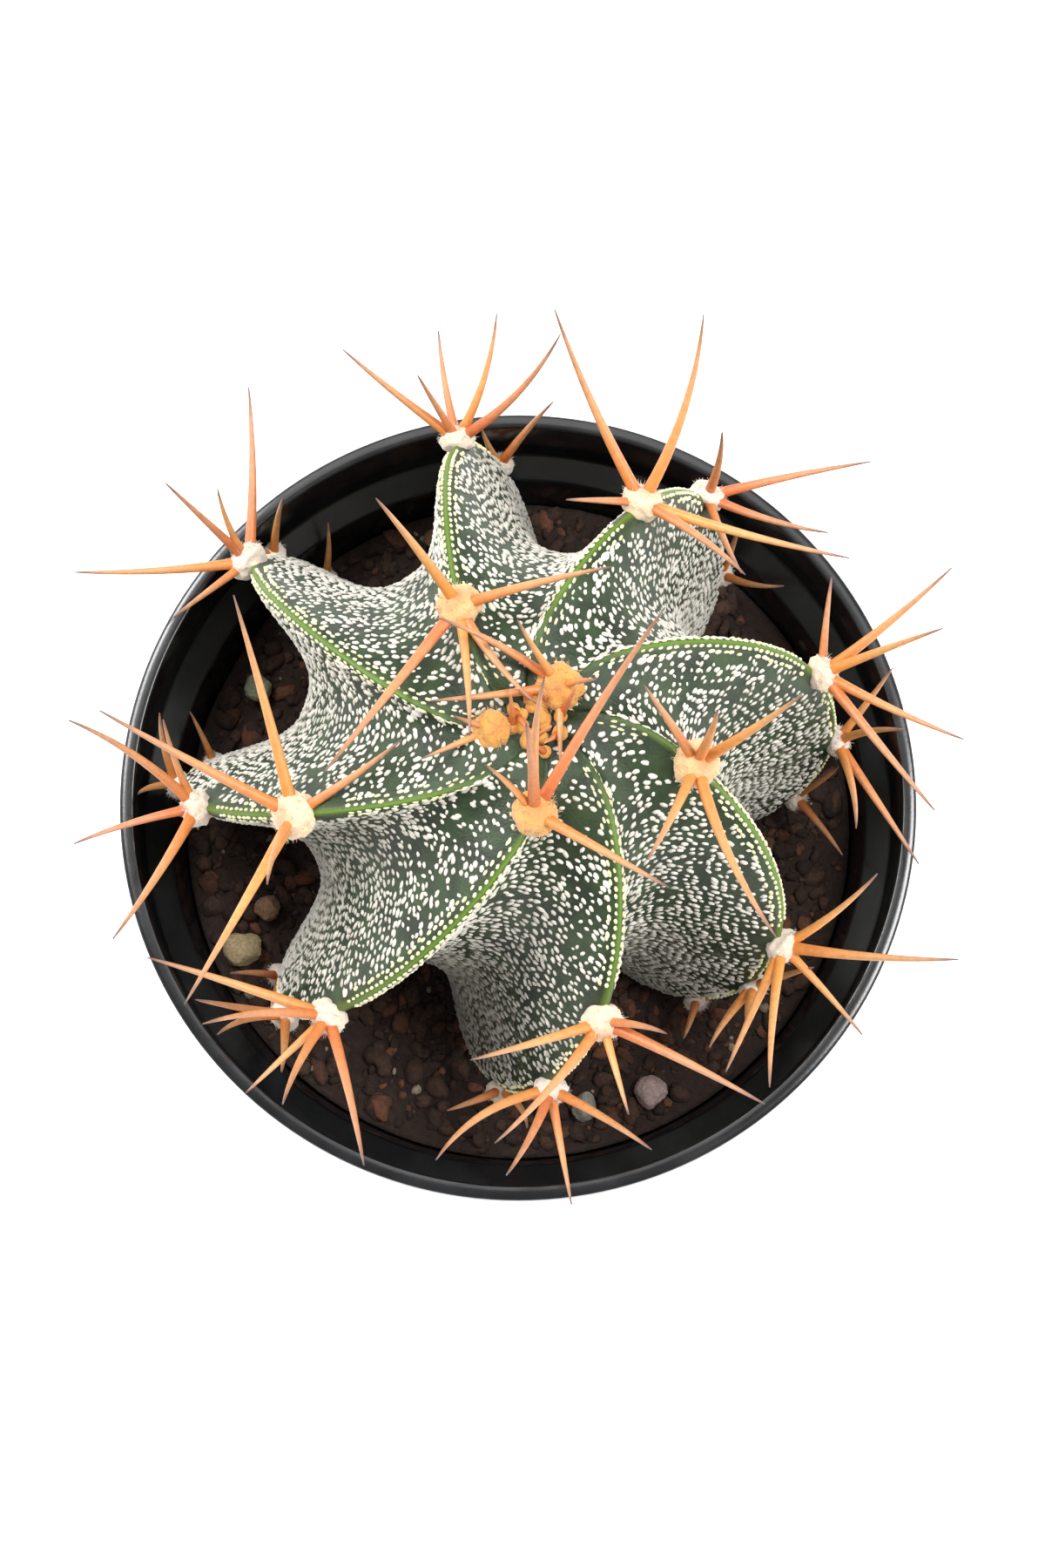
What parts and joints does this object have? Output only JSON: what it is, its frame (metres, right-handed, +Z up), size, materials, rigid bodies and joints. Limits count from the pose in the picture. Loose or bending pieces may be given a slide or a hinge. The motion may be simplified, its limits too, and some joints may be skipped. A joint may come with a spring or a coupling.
{
  "type": "potted monk's hood cactus",
  "caption": "Young ribbed globular cactus with white flecks and stiff tan spines, growing in potting mix in a tapered black plastic nursery pot.",
  "frame": {"origin": "middle of the pot's flat underside, which stands on the surface", "axes": "+Z up; -Y is the side nearest a viewer who looks down on the plant, +X to the viewer's right"},
  "size_m": [0.1097, 0.1093, 0.1511],
  "materials": {
    "pot_plastic": "satin",
    "potting_mix": "matte",
    "cactus_skin": "matte",
    "spines_and_wool": "satin",
    "tan_pumice": "matte",
    "brown_pumice": "matte",
    "pink_grit": "matte",
    "grey_grit": "matte",
    "red_lava": "matte",
    "green_grit": "matte",
    "bark": "matte"
  },
  "bodies": {
    "root": {"nursery_pot": "pot_plastic", "potting_soil": "potting_mix", "cactus_stem": "cactus_skin", "tan_pumice_stone": "tan_pumice", "brown_pumice_stone": "brown_pumice", "pink_grit_stone": "pink_grit", "grey_grit_stone": "grey_grit", "red_lava_stone": "red_lava", "small_lava_stone": "red_lava", "green_grit_stone": "green_grit", "dark_bark_chip": "bark", "spine_cluster_rib1_1": "spines_and_wool", "spine_cluster_rib1_2": "spines_and_wool", "spine_cluster_rib1_3": "spines_and_wool", "spine_cluster_rib2_1": "spines_and_wool", "spine_cluster_rib2_2": "spines_and_wool", "spine_cluster_rib2_3": "spines_and_wool", "spine_cluster_rib3_1": "spines_and_wool", "spine_cluster_rib3_2": "spines_and_wool", "spine_cluster_rib3_3": "spines_and_wool", "spine_cluster_rib3_4": "spines_and_wool", "spine_cluster_rib4_1": "spines_and_wool", "spine_cluster_rib4_2": "spines_and_wool", "spine_cluster_rib4_3": "spines_and_wool", "spine_cluster_rib4_4": "spines_and_wool", "spine_cluster_rib5_1": "spines_and_wool", "spine_cluster_rib5_2": "spines_and_wool", "spine_cluster_rib5_3": "spines_and_wool", "spine_cluster_rib6_1": "spines_and_wool", "spine_cluster_rib6_2": "spines_and_wool", "spine_cluster_rib6_3": "spines_and_wool", "spine_cluster_rib6_4": "spines_and_wool", "spine_cluster_rib7_1": "spines_and_wool", "spine_cluster_rib7_2": "spines_and_wool", "spine_cluster_rib7_3": "spines_and_wool", "spine_cluster_rib7_4": "spines_and_wool", "spine_cluster_rib8_1": "spines_and_wool", "spine_cluster_rib8_2": "spines_and_wool", "spine_cluster_rib8_3": "spines_and_wool", "spine_cluster_rib8_4": "spines_and_wool"}
  },
  "joints": []
}
